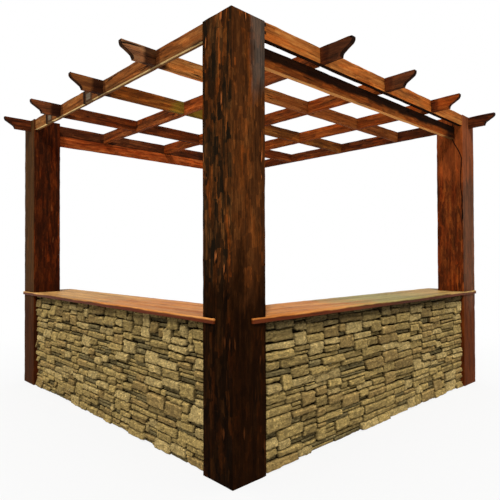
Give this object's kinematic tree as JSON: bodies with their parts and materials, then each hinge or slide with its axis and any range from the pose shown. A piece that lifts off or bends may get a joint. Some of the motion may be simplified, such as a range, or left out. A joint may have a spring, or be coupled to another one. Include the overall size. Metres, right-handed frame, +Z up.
{
  "type": "outdoor bar",
  "caption": "Square open timber pergola on heavy posts with an L-shaped bar of stone-faced knee walls and thick wooden counters.",
  "frame": {"origin": "on the ground, under the middle of the bounding box", "axes": "+X along the right-hand bar side away from the near post, +Y along the left-hand bar side away from the near post, +Z up"},
  "size_m": [4.016, 3.985, 3.03],
  "materials": {
    "post_wood": "rough-sawn timber, dark brown stain with rust-brown streaks",
    "beam_wood": "weathered honey-brown timber with dark grain",
    "rafter_wood": "red-brown stained timber",
    "counter_wood": "glossy varnished boards, orange-brown fading to tan",
    "board_wood": "brown stained boards",
    "frame_wood": "sawn softwood",
    "stone": "dry-stacked ledgestone in khaki, buff and tan"
  },
  "bodies": {
    "root": {"near_post": "post_wood", "left_post": "post_wood", "right_post": "post_wood", "far_post": "post_wood", "left_beam": "beam_wood", "right_beam": "beam_wood", "left_back_beam": "rafter_wood", "right_back_beam": "rafter_wood", "front_plate": "beam_wood", "back_plate": "beam_wood", "left_counter": "counter_wood", "right_counter": "counter_wood", "rafter_1": "rafter_wood", "cross_rafter_1": "rafter_wood", "rafter_2": "rafter_wood", "cross_rafter_2": "rafter_wood", "rafter_3": "rafter_wood", "cross_rafter_3": "rafter_wood", "left_stone_facing": "stone", "left_sheathing": "board_wood", "left_bottom_rail": "frame_wood", "left_top_rail": "frame_wood", "left_studs": "frame_wood", "left_lining": "board_wood", "left_brackets": "frame_wood", "right_stone_facing": "stone", "right_sheathing": "board_wood", "right_bottom_rail": "frame_wood", "right_top_rail": "frame_wood", "right_studs": "frame_wood", "right_lining": "board_wood", "right_brackets": "frame_wood"}
  },
  "joints": []
}
